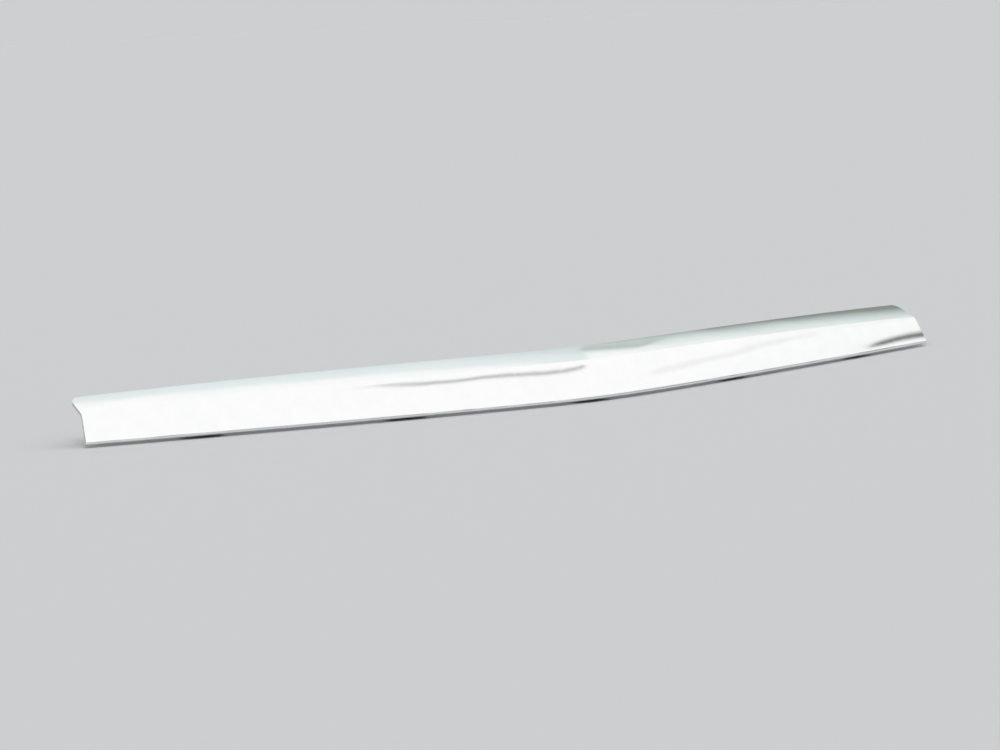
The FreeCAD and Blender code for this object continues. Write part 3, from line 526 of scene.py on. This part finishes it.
for name, direction, strength, spread in (("key_lamp", (-0.5, -0.7, 1.0), 1.1, 50),
                                          ("fill_lamp", (0.8, -0.3, 0.9), 0.4, 60)):
    lamp = bpy.data.objects.new(name, bpy.data.lights.new(name, "SUN"))
    lamp.data.energy = strength
    lamp.data.angle = radians(spread)
    lamp.visible_glossy = False
    lamp.rotation_euler = Vector(direction).to_track_quat("Z", "Y").to_euler()
    scene.collection.objects.link(lamp)

world = bpy.data.worlds.new("studio")
scene.world = world
world.use_nodes = True
tree = world.node_tree
tree.nodes.clear()
axes = tree.nodes.new("ShaderNodeSeparateXYZ")
tree.links.new(tree.nodes.new("ShaderNodeTexCoord").outputs["Generated"], axes.inputs["Vector"])
# Height is 0 at the horizon and 1 overhead, and across is 1 straight out to either side.
_, back, height = axes.outputs
across = maths(tree, "ABSOLUTE", axes.outputs["X"])
in_front = shades(tree, height, (0.0, (0.26, 0.29, 0.32)), (0.12, (0.42, 0.47, 0.51)),
                  (0.22, (0.72, 0.78, 0.82)), (0.30, (0.89, 0.93, 0.94)), (0.38, (0.97, 0.985, 0.985)),
                  (0.55, (1.0, 1.0, 1.0)))
behind_near = shades(tree, height, (0.0, (0.40, 0.44, 0.43)), (0.60, (0.66, 0.73, 0.73)),
                     (0.70, (0.76, 0.83, 0.83)), (0.765, (0.81, 0.86, 0.87)), (0.82, (0.96, 0.975, 0.98)),
                     (0.88, (1.0, 1.0, 1.0)))
sloped = maths(tree, "ADD", height, maths(tree, "MULTIPLY_ADD", across, 0.42, -0.275))
behind_far = shades(tree, sloped, (0.0, (0.20, 0.23, 0.22)), (0.44, (0.26, 0.29, 0.275)),
                    (0.475, (0.43, 0.475, 0.455)), (0.51, (0.57, 0.65, 0.63)), (0.545, (0.70, 0.77, 0.76)),
                    (0.60, (0.85, 0.90, 0.88)), (0.69, (1.0, 1.0, 1.0)))
behind = blend_colors(tree, remap(tree, across, 0.566, 0.574), behind_near, behind_far)
reflected = blend_colors(tree, remap(tree, back, -0.05, 0.20), in_front, behind)


def dark_band(color, starts, ends, start_height, end_height, width, depth, front):
    """Darken a thin band of the surround. It slopes from one height to another as it runs outwards."""
    sloping = remap(tree, across, starts, ends, start_height, end_height)
    off = maths(tree, "ABSOLUTE", maths(tree, "SUBTRACT", height, sloping))
    band = remap(tree, off, 0.0, width, 1.0, 0.0, soft=True)
    middle = (starts + ends) / 2
    along = maths(tree, "ABSOLUTE", maths(tree, "SUBTRACT", across, middle))
    tips = remap(tree, along, 0.75 * (ends - middle), ends - middle, 1.0, 0.0, soft=True)
    side = remap(tree, back, -0.02, 0.02, 1.0 if front else 0.0, 0.0 if front else 1.0)
    share = maths(tree, "MULTIPLY", maths(tree, "MULTIPLY", band, tips),
                  maths(tree, "MULTIPLY", side, depth))
    return blend_colors(tree, share, color, BAND_COLOR)


for starts, ends, start_height, end_height, width, depth, front in (
        (0.19, 0.57, 0.825, 0.716, 0.013, 0.55, True), (0.75, 0.84, 0.565, 0.525, 0.014, 0.12, True),
        (0.868, 0.914, 0.445, 0.424, 0.015, 0.98, True), (0.564, 0.632, 0.60, 0.57, 0.07, 0.36, False)):
    reflected = dark_band(reflected, starts, ends, start_height, end_height, width, depth, front)

lights = {}
for name, color, strength in (("seen", (0.610, 0.624, 0.630, 1.0), 1.0),
                              ("ambient", (1.0, 1.0, 1.0, 1.0), 0.62), ("reflected", reflected, 1.0)):
    light = tree.nodes.new("ShaderNodeBackground")
    feed(tree, light.inputs["Color"], color)
    light.inputs["Strength"].default_value = strength
    lights[name] = light.outputs[0]
path = tree.nodes.new("ShaderNodeLightPath")
current = lights["ambient"]
for kind, name in (("Is Glossy Ray", "reflected"), ("Is Transmission Ray", "seen"),
                   ("Is Camera Ray", "seen")):
    chooser = tree.nodes.new("ShaderNodeMixShader")
    tree.links.new(path.outputs[kind], chooser.inputs[0])
    tree.links.new(current, chooser.inputs[1])
    tree.links.new(lights[name], chooser.inputs[2])
    current = chooser.outputs[0]
tree.links.new(current, tree.nodes.new("ShaderNodeOutputWorld").inputs["Surface"])


# Camera: it stands where the photograph's camera stood, about 5 m away to the front left and 0.6 m above
# the shield, and looks at the shield's middle through a longer lens, with the same slight tilt.

camera = bpy.data.objects.new("camera", bpy.data.cameras.new("camera"))
camera.data.sensor_width = 36.0
camera.data.lens = 124.0
camera.data.clip_end = 100.0
camera.location = (-2.8780, -4.2042, 0.6406)
camera.rotation_euler = (radians(83.197), radians(2.327), radians(-33.173))
scene.collection.objects.link(camera)
scene.camera = camera
scene.view_settings.view_transform = "Standard"
